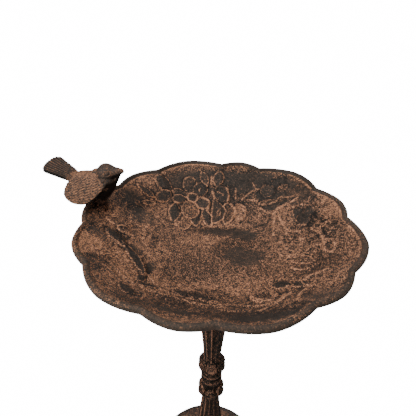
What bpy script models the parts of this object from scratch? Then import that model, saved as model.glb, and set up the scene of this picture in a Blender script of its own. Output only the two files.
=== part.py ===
"""Cast iron pedestal bird bath: a twelve-lobed bowl with a perched bird, on a fluted stem in two halves
and a domed base. One tie rod runs from the bowl's boss down to a nut inside the base.

Metres, +Z up, ground at Z = 0. The empty stem_axis stands on the stem's axis, and the empty bird_seat lies
in the rim's plane over the bird's fixing screw, with its +X the way the bird faces.
"""

import math

import bpy
import bmesh
from mathutils import Matrix, Vector

MM = 0.001
GAP = 0.3 * MM  # clearance between pieces that touch

# Whole object
RIM_HEIGHT = 430 * MM
HUB_HEIGHT = 46 * MM  # the base's seat for the stem
WAIST_HEIGHT = 202 * MM  # the joint between the two stem castings
AXIS_X = 19.05 * MM  # puts the middle of the whole object's box at X = 0

# Bowl, measured from the rim's plane
BOWL_RADIUS = 131 * MM  # mean radius of the lobed outline
BOWL_DEPTH = 39.3 * MM
BOWL_WALL = 4.8 * MM  # measured vertically
FLOOR_RADIUS = 0.33 * BOWL_RADIUS
CREVICE_RADIUS = 0.955 * BOWL_RADIUS  # foot of the rim's bead
CREVICE_DROP = 2.8 * MM
WALL_CURVE = 1.6
LOBE_FADE_RADIUS = 0.45 * BOWL_RADIUS  # inside this the bowl is round
LOBE_PITCH = 60  # degrees from one pair of lobes to the next
LARGE_LOBE = {"centre": 48, "half_width": 17.65, "tip": 1.030}
SMALL_LOBE = {"centre": 18, "half_width": 12.35, "tip": 1.016}
LOBE_NOTCH = 0.976
LOBE_ROUNDNESS = 1.7
BOWL_STEPS = 120
BOSS_RADIUS = 25 * MM
BOSS_HEIGHT = 10 * MM
BOSS_HOLE_DEPTH = 12 * MM

# Stem halves, measured from the waist outwards
SPIGOT_RADIUS = 12 * MM  # into the bowl's boss and into the base's hub
SPIGOT_LENGTH = 4 * MM
WAIST_SPIGOT_RADIUS = 7.5 * MM
WAIST_SPIGOT_LENGTH = 6 * MM
BORE_RADIUS = 5 * MM
WAIST_RADIUS = 10.9 * MM
COLLAR_RADIUS = 22.5 * MM
COLLAR_HEIGHT = 5 * MM
SHAFT_END_RADIUS = 21 * MM
STEM_STEPS = 24  # two for each flute
SHAFT_FLUTE = 0.10  # depth of the flutes as a share of the radius
KNOP_FLUTE = 0.05
KNOP_RING = [(2, 12.2), (6, 13.3), (10, 12.4), (11.5, 10.9)]  # (distance, radius) in mm
UPPER_BULB = [(14.5, 10.8), (17.5, 14.6), (22, 16.7), (27.5, 15.6), (33, 12.2)]
LOWER_BULB = [(17.5, 10.9), (21.5, 14.4), (28, 16.7), (33.5, 15.2), (38, 12.2)]
SHAFT_START = (41, 11.0)

# Base
BASE_RADIUS = 80.5 * MM
FOOT_WIDTH = 5 * MM  # of the flat ring that the base stands on
HUB_RADIUS = 26 * MM
HUB_THICKNESS = 10 * MM
BASE_STEPS = 48

# Tie rod and its nut, metric M8
ROD_RADIUS = 3.9 * MM
ROD_HOLE_RADIUS = 4.4 * MM
ROD_BOTTOM = 20 * MM
ROD_WASHER_RADIUS = 16 * MM
ROD_WASHER_THICKNESS = 1.6 * MM
ROD_LOCK_RADIUS = 7.4 * MM
ROD_LOCK_THICKNESS = 2 * MM
NUT_ACROSS_FLATS = 13 * MM
NUT_HEIGHT = 6.5 * MM

# Bird's seat in the bowl and its screw, metric M4
SEAT_AZIMUTH = 166.4  # degrees round the bowl
SEAT_DISTANCE = 122 * MM
SEAT_RADIUS = 6.2 * MM
SEAT_TOP = -2.5 * MM
LUG_RADIUS = 5.2 * MM
LUG_BOTTOM = -17 * MM
BIRD_HEADING = -9  # degrees, 0 along +X
SCREW_RADIUS = 2 * MM
SCREW_HOLE_RADIUS = 2.3 * MM
SCREW_REACH = 8 * MM  # into the bird
SCREW_WASHER_RADIUS = 4.5 * MM
SCREW_LOCK_RADIUS = 3.6 * MM
SCREW_WASHER_THICKNESS = 1 * MM
SCREW_HEAD_RADIUS = 3.75 * MM
SCREW_HEAD_HEIGHT = 2.4 * MM
SLOT_WIDTH = 1 * MM
SLOT_DEPTH = 1.2 * MM

# Bird, in millimetres ahead of, left of and above the middle of bird_seat
BIRD_FOOT_RADIUS = 5.6 * MM
BODY_ROUNDS = [  # (ahead, up, half length, half width, half height, nose-up pitch)
    (-10, 19, 21, 11, 11.5, 3),
    (1, 19, 13.5, 10, 17, 0),
    (9, 31.6, 10.2, 9.6, 10.1, 0),
]
BEAK_ROOT = (9, 31.8)
BEAK_TIP = (26.5, 36.5)
BEAK_ROOT_RADIUS = 9.2 * MM
BEAK_TIP_RADIUS = 1.6 * MM
THROAT_TOP = (24.5, 34.6)
THROAT_BOTTOM = (8, 18)
THROAT_TOP_RADIUS = 1.5 * MM
THROAT_BOTTOM_RADIUS = 8.8 * MM
WING_ROOT = [(14, 5.5, 29.5), (1, 5.5, 31), (-13, 5, 30), (-26, 5, 28)]
WING_MIDDLE = [(14, 12, 24), (-2, 14.5, 21), (-16, 14, 20.5), (-31, 13, 19)]
WING_TIP = [(-1, 20.5, 7.5), (-11, 22, 4), (-22, 22, 4.5), (-31, 20, 12)]
WING_THICKNESS = 3.4 * MM
TAIL_ROOT = (-20, 21.5)
TAIL_PITCH = 27
# One half, from the root to the end
TAIL_OUTLINE = [(0, -7.6), (10, -10), (30, -14.8), (33.6, -12.6), (35.4, -6.5), (35.6, 0)]
TAIL_THICKNESS = 3 * MM


def clear_scene():
    for old in list(bpy.data.objects):
        bpy.data.objects.remove(old)


def new_collection(name, hidden=False):
    collection = bpy.data.collections.new(name)
    collection.hide_render = hidden
    bpy.context.scene.collection.children.link(collection)
    return collection


def iron(name, color, roughness, metallic):
    material = bpy.data.materials.new(name)
    material.use_nodes = True
    shader = material.node_tree.nodes["Principled BSDF"]
    shader.inputs["Base Color"].default_value = (*color, 1)
    shader.inputs["Roughness"].default_value = roughness
    shader.inputs["Metallic"].default_value = metallic
    return material


def add_object(name, mesh, parent, material=None):
    """A part or, without a material, a cutter."""
    made = bpy.data.objects.new(name, mesh)
    made.parent = parent
    if material is None:
        made.hide_render = True
        made.display_type = "WIRE"
        cutters.objects.link(made)
    else:
        mesh.materials.clear()
        mesh.materials.append(material)
        mesh.shade_smooth()
        mesh.set_sharp_from_angle(angle=math.radians(35))
        parts.objects.link(made)
    return made


def add_empty(name, location, heading=0, parent=None):
    empty = bpy.data.objects.new(name, None)
    empty.location = location
    empty.rotation_euler.z = math.radians(heading)
    empty.parent = parent
    parts.objects.link(empty)
    return empty


def evaluated_mesh(source):
    """The object's mesh with its modifiers applied. The object itself is removed."""
    bpy.context.view_layer.update()
    graph = bpy.context.evaluated_depsgraph_get()
    mesh = bpy.data.meshes.new_from_object(source.evaluated_get(graph))
    bpy.data.objects.remove(source)
    return mesh


def turned(profile, steps):
    """A mesh turned about Z from (radius, height) points that run down the outer side."""
    closed = profile[0][0] > 0 or profile[-1][0] > 0
    mesh = bpy.data.meshes.new("profile")
    edges = [(i, i + 1) for i in range(len(profile) - 1)]
    if closed:
        edges.append((len(profile) - 1, 0))
    mesh.from_pydata([(radius, 0, height) for radius, height in profile], edges, [])
    lathe = bpy.data.objects.new("lathe", mesh)
    cutters.objects.link(lathe)
    screw = lathe.modifiers.new("Turn", "SCREW")
    screw.steps = steps
    screw.render_steps = steps
    screw.use_merge_vertices = True
    screw.merge_threshold = 0.00001
    return evaluated_mesh(lathe)


def cylinder(radius, bottom, top, segments, top_radius=None):
    """A closed upright cylinder, or a cone when top_radius is given."""
    mesh = bpy.data.meshes.new("cylinder")
    shape = bmesh.new()
    bmesh.ops.create_cone(
        shape,
        cap_ends=True,
        segments=segments,
        radius1=radius,
        radius2=radius if top_radius is None else top_radius,
        depth=top - bottom,
        matrix=Matrix.Translation((0, 0, (top + bottom) / 2)),
    )
    shape.to_mesh(mesh)
    shape.free()
    return mesh


def block(length, width, height):
    """A closed box about its own middle."""
    mesh = bpy.data.meshes.new("block")
    shape = bmesh.new()
    bmesh.ops.create_cube(shape, size=1)
    bmesh.ops.scale(shape, vec=(length, width, height), verts=shape.verts)
    shape.to_mesh(mesh)
    shape.free()
    return mesh


def combine(base, other, operation):
    boolean = base.modifiers.new(operation.title(), "BOOLEAN")
    boolean.operation = operation
    boolean.solver = "EXACT"
    boolean.object = other


def smooth_step(low, high, value):
    share = min(max((value - low) / (high - low), 0), 1)
    return share * share * (3 - 2 * share)


def outline_radius(angle):
    """Radius of the lobed rim, as a share of BOWL_RADIUS, at an angle in degrees."""
    for lobe in (LARGE_LOBE, SMALL_LOBE):
        offset = (angle - lobe["centre"] + LOBE_PITCH / 2) % LOBE_PITCH - LOBE_PITCH / 2
        share = abs(offset) / lobe["half_width"]
        if share <= 1:
            return LOBE_NOTCH + (lobe["tip"] - LOBE_NOTCH) * (1 - share**LOBE_ROUNDNESS)
    return LOBE_NOTCH


def inner_height(radius):
    """Height of the bowl's inner surface below the rim's plane."""
    share = (radius - FLOOR_RADIUS) / (CREVICE_RADIUS - FLOOR_RADIUS)
    share = min(max(share, 0), 1)
    return -CREVICE_DROP - (BOWL_DEPTH - CREVICE_DROP) * (1 - share**WALL_CURVE)


def bowl_profile():
    inside = [share * BOWL_RADIUS for share in (0.33, 0.47, 0.6, 0.73, 0.85, 0.955)]
    points = [(0, inner_height(0))]
    points += [(radius, inner_height(radius)) for radius in inside]
    rim_bead = [(0.962, -1.0), (0.978, 0), (0.993, -0.6), (1.0, -2.4), (0.992, -4.8)]
    points += [(share * BOWL_RADIUS, drop * MM) for share, drop in rim_bead]
    points += [(radius, inner_height(radius) - BOWL_WALL) for radius in inside[-2:0:-1]]
    bottom = inner_height(0) - BOWL_WALL
    mouth = bottom - BOSS_HEIGHT
    spigot_radius = SPIGOT_RADIUS + GAP
    shoulder = mouth + SPIGOT_LENGTH + GAP
    hole_top = mouth + BOSS_HOLE_DEPTH
    points += [(BOSS_RADIUS + 4 * MM, bottom), (BOSS_RADIUS, bottom - 3 * MM), (BOSS_RADIUS, mouth)]
    points += [(spigot_radius, mouth), (spigot_radius, shoulder), (ROD_HOLE_RADIUS, shoulder)]
    points += [(ROD_HOLE_RADIUS, hole_top), (0, hole_top)]
    return points


def make_bowl(material):
    mesh = turned(bowl_profile(), BOWL_STEPS)
    for vertex in mesh.vertices:
        radius = vertex.co.xy.length
        lobed = smooth_step(LOBE_FADE_RADIUS, BOWL_RADIUS, radius)
        angle = math.degrees(math.atan2(vertex.co.y, vertex.co.x))
        scale = 1 + lobed * (outline_radius(angle) - 1)
        vertex.co.x *= scale
        vertex.co.y *= scale
    bowl = add_object("bowl", mesh, stem_axis, material)
    bowl.location.z = RIM_HEIGHT
    lug = cylinder(LUG_RADIUS, LUG_BOTTOM, SEAT_TOP, 24, top_radius=SEAT_RADIUS)
    seat = add_object("seat_lug", lug, bird_seat)
    hole = cylinder(SCREW_HOLE_RADIUS, LUG_BOTTOM - 5 * MM, SEAT_TOP + 5 * MM, 16)
    combine(bowl, seat, "UNION")
    combine(bowl, add_object("seat_hole", hole, bird_seat), "DIFFERENCE")


def stem_half_profile(length, waist_end, bulb):
    """Outer side of a stem half, from its spigot down to the waist at height 0, then waist_end's points."""
    start = SHAFT_START[0] * MM
    shaft = [
        (SHAFT_START[1] * MM + (SHAFT_END_RADIUS - SHAFT_START[1] * MM) * share,
         start + (length - COLLAR_HEIGHT - 3 * MM - start) * share)
        for share in (1, 0.75, 0.5, 0.25, 0)
    ]
    points = [(BORE_RADIUS, length + SPIGOT_LENGTH), (SPIGOT_RADIUS, length + SPIGOT_LENGTH)]
    points += [(SPIGOT_RADIUS, length), (COLLAR_RADIUS - 0.6 * MM, length)]
    points += [(COLLAR_RADIUS, length - 1 * MM), (COLLAR_RADIUS, length - COLLAR_HEIGHT + 1 * MM)]
    points += [(COLLAR_RADIUS - 1.5 * MM, length - COLLAR_HEIGHT)]
    points += shaft
    points += [(radius * MM, distance * MM) for distance, radius in reversed(KNOP_RING + bulb)]
    return points + [(WAIST_RADIUS, 0)] + waist_end


def flute(mesh, length, bulb_start):
    """Draws in every other line of vertices along the shaft and, less deeply, along the knop's bulb."""
    shaft_start = SHAFT_START[0] * MM
    shaft_end = length - COLLAR_HEIGHT - 1 * MM
    flute_pitch = 720 / STEM_STEPS
    for vertex in mesh.vertices:
        angle = math.degrees(math.atan2(vertex.co.y, vertex.co.x))
        in_groove = abs(angle / flute_pitch % 1 - 0.5) < 0.25
        outside = vertex.co.xy.length > 1.8 * BORE_RADIUS
        if not (in_groove and outside and bulb_start <= vertex.co.z <= shaft_end):
            continue
        depth = SHAFT_FLUTE if vertex.co.z >= shaft_start - 1 * MM else KNOP_FLUTE
        vertex.co.x *= 1 - depth
        vertex.co.y *= 1 - depth


def make_stem_half(name, length, waist_end, bulb, material):
    mesh = turned(stem_half_profile(length, waist_end, bulb), STEM_STEPS)
    flute(mesh, length, bulb[0][0] * MM)
    return add_object(name, mesh, stem_axis, material)


def make_stem(material):
    boss_mouth = RIM_HEIGHT + inner_height(0) - BOWL_WALL - BOSS_HEIGHT
    spigot = [(WAIST_SPIGOT_RADIUS, 0), (WAIST_SPIGOT_RADIUS, -WAIST_SPIGOT_LENGTH)]
    spigot += [(BORE_RADIUS, -WAIST_SPIGOT_LENGTH)]
    upper_length = boss_mouth - WAIST_HEIGHT - 1.5 * GAP
    upper = make_stem_half("upper_stem", upper_length, spigot, UPPER_BULB, material)
    upper.location.z = WAIST_HEIGHT + GAP / 2
    socket_radius = WAIST_SPIGOT_RADIUS + GAP
    socket_depth = WAIST_SPIGOT_LENGTH + GAP
    socket = [(socket_radius, 0), (socket_radius, socket_depth), (BORE_RADIUS, socket_depth)]
    lower_length = WAIST_HEIGHT - HUB_HEIGHT - 1.5 * GAP
    lower = make_stem_half("lower_stem", lower_length, socket, LOWER_BULB, material)
    lower.location.z = WAIST_HEIGHT - GAP / 2
    lower.rotation_euler.x = math.pi


def base_profile():
    hub_bottom = HUB_HEIGHT - HUB_THICKNESS
    spigot_radius = SPIGOT_RADIUS + GAP
    shoulder = HUB_HEIGHT - SPIGOT_LENGTH - GAP
    foot_inside = BASE_RADIUS - FOOT_WIDTH
    outside = [(1.0, 8), (0.975, 11), (0.9, 13.5), (0.71, 20), (0.53, 30), (0.41, 40)]
    inside = [(0.89, 8), (0.68, 15), (0.5, 24), (0.38, 33)]
    points = [(spigot_radius, HUB_HEIGHT), (HUB_RADIUS - 1 * MM, HUB_HEIGHT)]
    points += [(HUB_RADIUS, HUB_HEIGHT - 1 * MM)]
    points += [(share * BASE_RADIUS, height * MM) for share, height in reversed(outside)]
    points += [(BASE_RADIUS, 0), (foot_inside, 0), (foot_inside, 4 * MM)]
    points += [(share * BASE_RADIUS, height * MM) for share, height in inside]
    points += [(HUB_RADIUS, hub_bottom), (ROD_HOLE_RADIUS, hub_bottom)]
    return points + [(ROD_HOLE_RADIUS, shoulder), (spigot_radius, shoulder)]


def make_base(material):
    add_object("base", turned(base_profile(), BASE_STEPS), stem_axis, material)


def ring(inner, outer, thickness):
    """A flat washer from height 0 up."""
    return turned([(inner, thickness), (outer, thickness), (outer, 0), (inner, 0)], 24)


def split_ring(name, inner, outer, thickness, parent, height, material):
    """A washer with a slanting cut through one side."""
    washer = add_object(name, ring(inner, outer, thickness), parent, material)
    washer.location.z = height
    cut = add_object(name + "_cut", block(2 * outer, 0.25 * outer, 4 * thickness), parent)
    cut.location = (1.2 * outer, 0, height + thickness / 2)
    cut.rotation_euler.x = math.radians(20)
    combine(washer, cut, "DIFFERENCE")


def make_tie_rod(material):
    boss_hole_top = RIM_HEIGHT + inner_height(0) - BOWL_WALL - BOSS_HEIGHT + BOSS_HOLE_DEPTH
    rod = cylinder(ROD_RADIUS, ROD_BOTTOM, boss_hole_top - GAP, 20)
    add_object("tie_rod", rod, stem_axis, material)


def make_base_fixings(material):
    washer_height = HUB_HEIGHT - HUB_THICKNESS - GAP - ROD_WASHER_THICKNESS
    washer = ring(ROD_HOLE_RADIUS, ROD_WASHER_RADIUS, ROD_WASHER_THICKNESS)
    add_object("base_washer", washer, stem_axis, material).location.z = washer_height
    lock_height = washer_height - GAP - ROD_LOCK_THICKNESS
    split_ring("base_lock_washer", ROD_HOLE_RADIUS, ROD_LOCK_RADIUS, ROD_LOCK_THICKNESS,
               stem_axis, lock_height, material)
    nut_height = lock_height - GAP - NUT_HEIGHT
    corner_radius = NUT_ACROSS_FLATS / math.sqrt(3)
    nut = add_object("base_nut", cylinder(corner_radius, 0, NUT_HEIGHT, 6), stem_axis, material)
    nut.location.z = nut_height
    chamfer = NUT_ACROSS_FLATS / 2
    turning = turned([(0, NUT_HEIGHT), (chamfer, NUT_HEIGHT), (corner_radius, NUT_HEIGHT - 0.6 * MM),
                      (corner_radius, 0.6 * MM), (chamfer, 0), (0, 0)], 36)
    blank = add_object("nut_turning", turning, stem_axis)
    blank.location.z = nut_height
    hole = add_object("nut_hole", cylinder(ROD_HOLE_RADIUS - 0.2 * MM, -MM, NUT_HEIGHT + MM, 20), stem_axis)
    hole.location.z = nut_height
    combine(nut, blank, "INTERSECT")
    combine(nut, hole, "DIFFERENCE")


def make_bird_fixings(material):
    washer_height = LUG_BOTTOM - GAP - SCREW_WASHER_THICKNESS
    washer = ring(SCREW_HOLE_RADIUS, SCREW_WASHER_RADIUS, SCREW_WASHER_THICKNESS)
    add_object("bird_washer", washer, bird_seat, material).location.z = washer_height
    lock_height = washer_height - GAP - SCREW_WASHER_THICKNESS
    split_ring("bird_lock_washer", SCREW_HOLE_RADIUS, SCREW_LOCK_RADIUS, SCREW_WASHER_THICKNESS,
               bird_seat, lock_height, material)
    head_top = lock_height - GAP
    head_bottom = head_top - SCREW_HEAD_HEIGHT
    tip = SEAT_TOP + GAP + SCREW_REACH - GAP
    profile = [(0, tip), (0.75 * SCREW_RADIUS, tip), (SCREW_RADIUS, tip - 0.6 * MM), (SCREW_RADIUS, head_top)]
    profile += [(SCREW_HEAD_RADIUS, head_top), (SCREW_HEAD_RADIUS, head_bottom + 1.4 * MM)]
    profile += [(0.8 * SCREW_HEAD_RADIUS, head_bottom + 0.3 * MM), (0.4 * SCREW_HEAD_RADIUS, head_bottom)]
    screw = add_object("bird_screw", turned(profile + [(0, head_bottom)], 20), bird_seat, material)
    cut = add_object("screw_slot", block(4 * SCREW_HEAD_RADIUS, SLOT_WIDTH, 2 * SLOT_DEPTH), bird_seat)
    cut.location.z = head_bottom
    combine(screw, cut, "DIFFERENCE")


def round_body(ahead, up, half_length, half_width, half_height, pitch):
    """An ellipsoid on the bird's middle plane."""
    mesh = bpy.data.meshes.new("round")
    shape = bmesh.new()
    bmesh.ops.create_uvsphere(shape, u_segments=20, v_segments=12, radius=MM)
    bmesh.ops.scale(shape, vec=(half_length, half_width, half_height), verts=shape.verts)
    turn = Matrix.Rotation(math.radians(-pitch), 4, "Y")
    move = Matrix.Translation((ahead * MM, 0, up * MM))
    bmesh.ops.transform(shape, matrix=move @ turn, verts=shape.verts)
    shape.to_mesh(mesh)
    shape.free()
    return mesh


def cone_between(start, end, start_radius, end_radius):
    """A cone on the bird's middle plane. start and end are (ahead, up) in mm."""
    root = Vector((start[0], 0, start[1])) * MM
    tip = Vector((end[0], 0, end[1])) * MM
    mesh = cylinder(start_radius, 0, (tip - root).length, 16, top_radius=end_radius)
    turn = Vector((0, 0, 1)).rotation_difference(tip - root).to_matrix().to_4x4()
    mesh.transform(Matrix.Translation(root) @ turn)
    return mesh


def wing(side):
    """A drooping half-spread wing: a cage of three rows, thickened and smoothed. side is -1 for the right."""
    rows = [WING_ROOT, WING_MIDDLE, WING_TIP]
    cage = bpy.data.meshes.new("wing")
    points = [(x * MM, side * y * MM, z * MM) for row in rows for x, y, z in row]
    across = len(WING_ROOT)
    faces = []
    for row in range(len(rows) - 1):
        for column in range(across - 1):
            corner = row * across + column
            face = (corner, corner + 1, corner + across + 1, corner + across)
            faces.append(face if side < 0 else face[::-1])
    cage.from_pydata(points, [], faces)
    sheet = bpy.data.objects.new("wing_cage", cage)
    cutters.objects.link(sheet)
    thicken = sheet.modifiers.new("Thickness", "SOLIDIFY")
    thicken.thickness = WING_THICKNESS
    thicken.offset = 0
    soften = sheet.modifiers.new("Soften", "SUBSURF")
    soften.levels = 1
    soften.render_levels = 1
    return evaluated_mesh(sheet)


def tail():
    """A fan-shaped plate that rises from the bird's rump."""
    outline = bpy.data.curves.new("fan", "CURVE")
    outline.dimensions = "2D"
    outline.fill_mode = "BOTH"
    outline.extrude = TAIL_THICKNESS / 2
    half = TAIL_OUTLINE
    points = half + [(x, -y) for x, y in reversed(half[:-1])]
    spline = outline.splines.new("POLY")
    spline.points.add(len(points) - 1)
    for point, (x, y) in zip(spline.points, points):
        point.co = (x * MM, y * MM, 0, 1)
    spline.use_cyclic_u = True
    fan = bpy.data.objects.new("fan", outline)
    cutters.objects.link(fan)
    mesh = evaluated_mesh(fan)
    shape = bmesh.new()
    shape.from_mesh(mesh)
    bmesh.ops.remove_doubles(shape, verts=shape.verts, dist=0.00001)
    bmesh.ops.recalc_face_normals(shape, faces=shape.faces)
    backwards = Matrix.Rotation(math.pi, 4, "Z")
    lift = Matrix.Rotation(math.radians(TAIL_PITCH), 4, "Y")
    move = Matrix.Translation((TAIL_ROOT[0] * MM, 0, TAIL_ROOT[1] * MM))
    bmesh.ops.transform(shape, matrix=move @ lift @ backwards, verts=shape.verts)
    shape.to_mesh(mesh)
    shape.free()
    return mesh


def make_bird(material):
    foot_bottom = SEAT_TOP + GAP
    body, *others = [round_body(*sizes) for sizes in BODY_ROUNDS]
    bird = add_object("bird", body, bird_seat, material)
    others += [cone_between(BEAK_ROOT, BEAK_TIP, BEAK_ROOT_RADIUS, BEAK_TIP_RADIUS)]
    others += [cone_between(THROAT_BOTTOM, THROAT_TOP, THROAT_BOTTOM_RADIUS, THROAT_TOP_RADIUS)]
    others += [wing(-1), wing(1), tail()]
    others += [cylinder(BIRD_FOOT_RADIUS, foot_bottom, 8 * MM, 20)]
    for index, mesh in enumerate(others):
        combine(bird, add_object(f"bird_shape_{index}", mesh, bird_seat), "UNION")
    hole = cylinder(SCREW_HOLE_RADIUS, foot_bottom - 2 * MM, foot_bottom + SCREW_REACH, 16)
    combine(bird, add_object("bird_hole", hole, bird_seat), "DIFFERENCE")


clear_scene()
parts = new_collection("bird_bath")
cutters = new_collection("cutters", hidden=True)
stem_axis = add_empty("stem_axis", (AXIS_X, 0, 0))
seat_angle = math.radians(SEAT_AZIMUTH)
seat_place = (SEAT_DISTANCE * math.cos(seat_angle), SEAT_DISTANCE * math.sin(seat_angle), RIM_HEIGHT)
bird_seat = add_empty("bird_seat", seat_place, BIRD_HEADING, stem_axis)

make_bowl(iron("bowl_iron", (0.062, 0.036, 0.025), 0.6, 0.35))
make_bird(iron("bird_iron", (0.085, 0.045, 0.028), 0.6, 0.35))
make_stem(iron("stem_iron", (0.022, 0.018, 0.015), 0.55, 0.35))
make_base(iron("base_iron", (0.060, 0.032, 0.022), 0.6, 0.35))
make_tie_rod(iron("rod_steel", (0.35, 0.34, 0.32), 0.35, 1.0))
make_base_fixings(iron("base_fixing_steel", (0.45, 0.44, 0.41), 0.35, 1.0))
make_bird_fixings(iron("bird_fixing_steel", (0.45, 0.44, 0.41), 0.35, 1.0))
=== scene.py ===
"""Cast iron bird bath, the visual model: relief bowl, perched bird, fluted stem and domed base.

Relief and form sizes are in millimetres about the stem's axis (x right, y away from the camera, and
heights from the rim's plane) or about the bird's seat; meshes are written in metres in the row frame.
"""

import itertools
from math import cos, pi, radians, sin

import bmesh
import bpy
import numpy as np
from mathutils import Matrix, Vector


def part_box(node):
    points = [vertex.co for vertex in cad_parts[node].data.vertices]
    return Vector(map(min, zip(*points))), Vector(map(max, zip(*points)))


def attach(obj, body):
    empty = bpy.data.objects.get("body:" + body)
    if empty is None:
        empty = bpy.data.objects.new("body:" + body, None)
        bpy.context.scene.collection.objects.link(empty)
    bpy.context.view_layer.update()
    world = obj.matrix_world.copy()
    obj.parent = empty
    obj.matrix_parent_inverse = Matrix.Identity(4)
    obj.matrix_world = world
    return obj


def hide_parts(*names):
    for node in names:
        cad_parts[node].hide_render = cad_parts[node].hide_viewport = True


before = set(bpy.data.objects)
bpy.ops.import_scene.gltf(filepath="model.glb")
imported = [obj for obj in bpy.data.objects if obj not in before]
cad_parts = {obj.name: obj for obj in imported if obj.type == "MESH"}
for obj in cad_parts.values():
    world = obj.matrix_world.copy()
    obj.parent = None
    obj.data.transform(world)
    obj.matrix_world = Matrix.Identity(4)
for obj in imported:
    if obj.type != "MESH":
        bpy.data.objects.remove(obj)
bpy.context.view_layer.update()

MM = 0.001
TURN = 2 * pi

# Places taken from the frame
base_low, base_high = (Vector(corner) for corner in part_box("base"))
screw_low, screw_high = (Vector(corner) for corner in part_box("bird_screw"))
_, lower_high = (Vector(corner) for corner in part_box("lower_stem"))
AXIS = Vector(((base_low.x + base_high.x) / 2, (base_low.y + base_high.y) / 2, 0))
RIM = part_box("bowl")[1][2]
SEAT = Vector(((screw_low.x + screw_high.x) / 2, (screw_low.y + screw_high.y) / 2, RIM))
WAIST_PLAY = 0.15 * MM  # half of the gap between the stem's two castings
WAIST = lower_high.z + WAIST_PLAY
BIRD_HEADING = radians(-9)

# Bowl, in mm
R = 131.0
DEPTH = 39.3
WALL = 4.8
FLOOR_RADIUS = 0.33 * R
CREVICE_RADIUS = 0.955 * R
CREVICE_DROP = 2.8
WALL_CURVE = 1.6
BEAD_START = 0.957  # where the rim's bead starts, as a share of R
LOBES = (  # where each lobe starts in degrees, the rim's radius there and the lobe's rise, in mm
    (-29, 130, 8.5), (8, 129, 8), (34.5, 131.5, 14), (68, 129, 9.3), (89, 127.5, 11.2), (125, 128.5, 7),
    (149.5, 127.5, 8.5), (185, 127.5, 5.5), (212, 128.5, 6.5), (246, 129, 5.3), (270.5, 128, 7),
    (306, 128.3, 5),
)
LOBE_POWER = 1.6
BOSS_HEIGHT = 10
ROD_BORE = 4.4  # radius of the tie rod's hole in the boss and in the base
BEAD_OUTSIDE = 9  # rings of the bead beyond its top
FLOWER_SIDE = radians(95)  # direction of the flowers, where the mesh is finest

DARK = (0.037, 0.029, 0.023)
BROWN = (0.092, 0.060, 0.043)
RUST = (0.55, 0.268, 0.148)
BACKDROP_STRENGTH = 16  # enough to render as pure white


# -------- numbers

def ease(low, high, value):
    """0 at low, 1 at high and an easy curve between."""
    share = np.clip((value - low) / (high - low), 0, 1)
    return share * share * (3 - 2 * share)


def mix(first, second, share):
    return first * (1 - share) + second * share


def peak(value, width):
    """1 where value is 0, falling away over about width on both sides."""
    return np.exp(-((value / width) ** 2))


def noise(points, cell, seed=0):
    """Smooth value noise from -1 to 1 at an array of points with 2 or 3 coordinates."""
    points = np.asarray(points, float) / cell
    corner = np.floor(points).astype(np.int64)
    share = points - corner
    share = share * share * share * (share * (share * 6 - 15) + 10)
    total = np.zeros(len(points))
    for step in itertools.product((0, 1), repeat=points.shape[1]):
        lattice = corner + np.array(step)
        mixed = lattice @ np.array((374761393, 668265263, 974634777))[: points.shape[1]] + seed * 1274126177
        mixed = (mixed ^ (mixed >> 13)) * 1103515245 & 0xFFFFFFFF
        mixed = (mixed ^ (mixed >> 16)) * 2246822519 & 0xFFFFFFFF
        weight = np.prod(np.where(np.array(step), share, 1 - share), axis=1)
        total += ((mixed >> 8 & 0xFFFF) / 32767.5 - 1) * weight
    return total


def fractal(points, cell, octaves=3, seed=0):
    return sum(noise(points, cell / 2**i, seed + i) / 2**i for i in range(octaves)) / 1.6


# -------- meshes

def new_mesh(name, vertices, faces, origin):
    """vertices is an array in mm about origin, which is in metres."""
    mesh = bpy.data.meshes.new(name)
    points = np.asarray(vertices, float) * MM + np.array(origin)
    mesh.from_pydata(points.tolist(), [], faces)
    mesh.shade_smooth()
    return mesh


def new_object(name, data):
    made = bpy.data.objects.new(name, data)
    bpy.context.scene.collection.objects.link(made)
    return made


def add_piece(name, mesh, material, nodes, slot, **attributes):
    """attributes are values at the mesh's vertices for the material: rust and plain."""
    for attribute, values in attributes.items():
        layer = mesh.attributes.new(attribute, "FLOAT", "POINT")
        layer.data.foreach_set("value", np.asarray(values, np.float32))
    piece = new_object(name, mesh)
    mesh.materials.append(material)
    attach(piece, "root")
    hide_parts(*nodes)


def around(radius, angle, height):
    return np.stack((radius * np.cos(angle), radius * np.sin(angle), height), axis=1)


def turned(profile, count):
    """Points, radii and angles of a profile of (radius, height) pairs turned round the axis."""
    radius, height = np.repeat(np.array(profile, float), count, axis=0).T
    angle = np.tile(np.arange(count) * TURN / count, len(profile))
    return around(radius, angle, height), radius, angle


def loop_mesh(name, points, count, origin, order=1):
    """A closed body whose rings of count points make a loop. order -1 turns the faces round."""
    rings = len(points) // count
    faces = []
    for ring in range(rings):
        first, second = ring * count, (ring + 1) % rings * count
        for k in range(count):
            j = (k + 1) % count
            faces.append((first + k, first + j, second + j, second + k)[::order])
    mesh = new_mesh(name, points, faces, origin)
    shape = bmesh.new()
    shape.from_mesh(mesh)
    bmesh.ops.recalc_face_normals(shape, faces=shape.faces)
    shape.to_mesh(mesh)
    shape.free()
    return mesh


def stitch(faces, first, second, count, next_count):
    """Faces between two rings, given their first vertices' numbers. The count may stay, double or halve."""
    if next_count == count:
        for k in range(count):
            j = (k + 1) % count
            faces.append((first + k, second + k, second + j, first + j))
        return
    for k in range(min(count, next_count)):
        j = (k + 1) % min(count, next_count)
        near, far = (first, second) if next_count > count else (second, first)
        a, b = near + k, near + j
        c, d, e = far + 2 * k, far + 2 * k + 1, far + 2 * j
        fan = ((a, c, d), (a, d, b), (d, e, b))
        faces.extend(fan if next_count > count else [face[::-1] for face in fan])


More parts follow.
